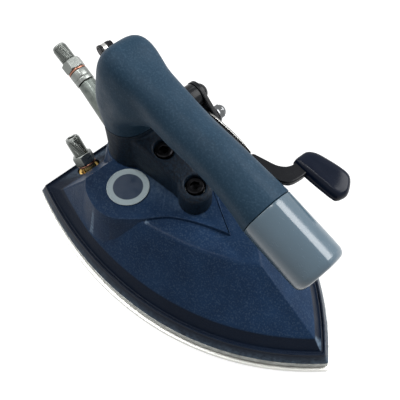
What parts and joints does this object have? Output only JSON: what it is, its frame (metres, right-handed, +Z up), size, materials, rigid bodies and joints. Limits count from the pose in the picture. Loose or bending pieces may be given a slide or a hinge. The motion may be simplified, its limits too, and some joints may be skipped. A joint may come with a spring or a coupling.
{
  "type": "steam iron",
  "caption": "Industrial steam iron fed by hoses: boat-shaped sole, moulded cover, cantilever grip with end cap, and a thumb lever that lifts the steam valve at the heel",
  "frame": {"origin": "middle of the sole's bottom face: mid length between heel and toe, on the middle line, on the pressing surface", "axes": "+X from heel to toe, +Y to the side of the thumb lever, +Z up from the pressing surface"},
  "size_m": [0.252, 0.1296, 0.1346],
  "materials": {
    "sole_metal": "machined edge, polished underside",
    "gasket": "dull graphite sheet",
    "screw_steel": "plain turned steel",
    "cast_body": "sand cast, as cast",
    "felt": "pressed felt",
    "cover_plastic": "moulded navy plastic, fine texture, satin",
    "badge": "satin printed disc, light ring round a navy middle, no lettering",
    "bracket_paint": "wrinkle paint, dark slate",
    "black_bolt": "black oxide",
    "grip_rubber": "slate blue moulded grip, fine grain",
    "cap_plastic": "glossy blue grey moulding",
    "valve_brass": "turned brass, lightly tarnished",
    "black_metal": "black enamel",
    "copper_ring": "soft copper",
    "valve_casting": "silver painted casting",
    "plated_steel": "nickel plated, worn",
    "bright_strip": "polished strip",
    "pad_plastic": "glossy navy black moulding",
    "chrome_nut": "bright plated"
  },
  "bodies": {
    "iron": {"sole_plate": "sole_metal", "sole_gasket": "gasket", "sole_screw_1": "screw_steel", "sole_screw_2": "screw_steel", "sole_screw_3": "screw_steel", "sole_screw_4": "screw_steel", "sole_screw_5": "screw_steel", "sole_screw_6": "screw_steel", "sole_screw_7": "screw_steel", "sole_screw_8": "screw_steel", "steam_body": "cast_body", "insulation_pad": "felt", "cover": "cover_plastic", "label_disc": "badge", "handle_bracket": "bracket_paint", "handle_bolt_1": "black_bolt", "handle_bolt_2": "black_bolt", "bolt_washer_1": "screw_steel", "bolt_washer_2": "screw_steel", "handle_core": "screw_steel", "handle_grip": "grip_rubber", "core_end_nut": "screw_steel", "grip_end_cap": "cap_plastic", "pivot_bush": "black_metal", "pivot_pin": "black_metal", "valve_gasket": "copper_ring", "valve_body": "valve_casting", "valve_seat": "valve_brass", "valve_bonnet": "valve_brass", "gland_packing": "felt", "gland_nut": "valve_brass", "valve_spring": "screw_steel", "inlet_union": "plated_steel", "inlet_washer": "copper_ring", "inlet_nipple": "plated_steel", "outlet_elbow": "valve_brass", "outlet_washer": "copper_ring", "outlet_nipple": "plated_steel"},
    "lever": {"lever_arm": "black_metal", "lever_strip": "bright_strip", "thumb_lever": "black_metal", "thumb_pad": "pad_plastic", "strip_screw": "screw_steel", "strip_washer": "chrome_nut", "acorn_nut": "chrome_nut", "lever_crosspin": "screw_steel", "crosspin_collar": "black_metal"},
    "stem": {"valve_stem": "screw_steel", "valve_disc": "gasket"}
  },
  "joints": [
    {"name": "thumb_lever_hinge", "type": "hinge", "parent": "iron", "child": "lever", "pos_m": [-0.02899, 0, 0.10949], "axis": [0, 1, 0], "range_deg": [0, 4.5], "stiffness_Nm_per_rad": 0.5, "springref_deg": -11.46},
    {"name": "valve_stem_lift", "type": "slide", "parent": "iron", "child": "stem", "axis": [0, 0, 1], "range_m": [0, 0.0047], "deforming": ["valve_spring"]}
  ],
  "couplings": [
    {"joint": "valve_stem_lift", "follows": "thumb_lever_hinge", "m_per_rad": 0.058}
  ]
}
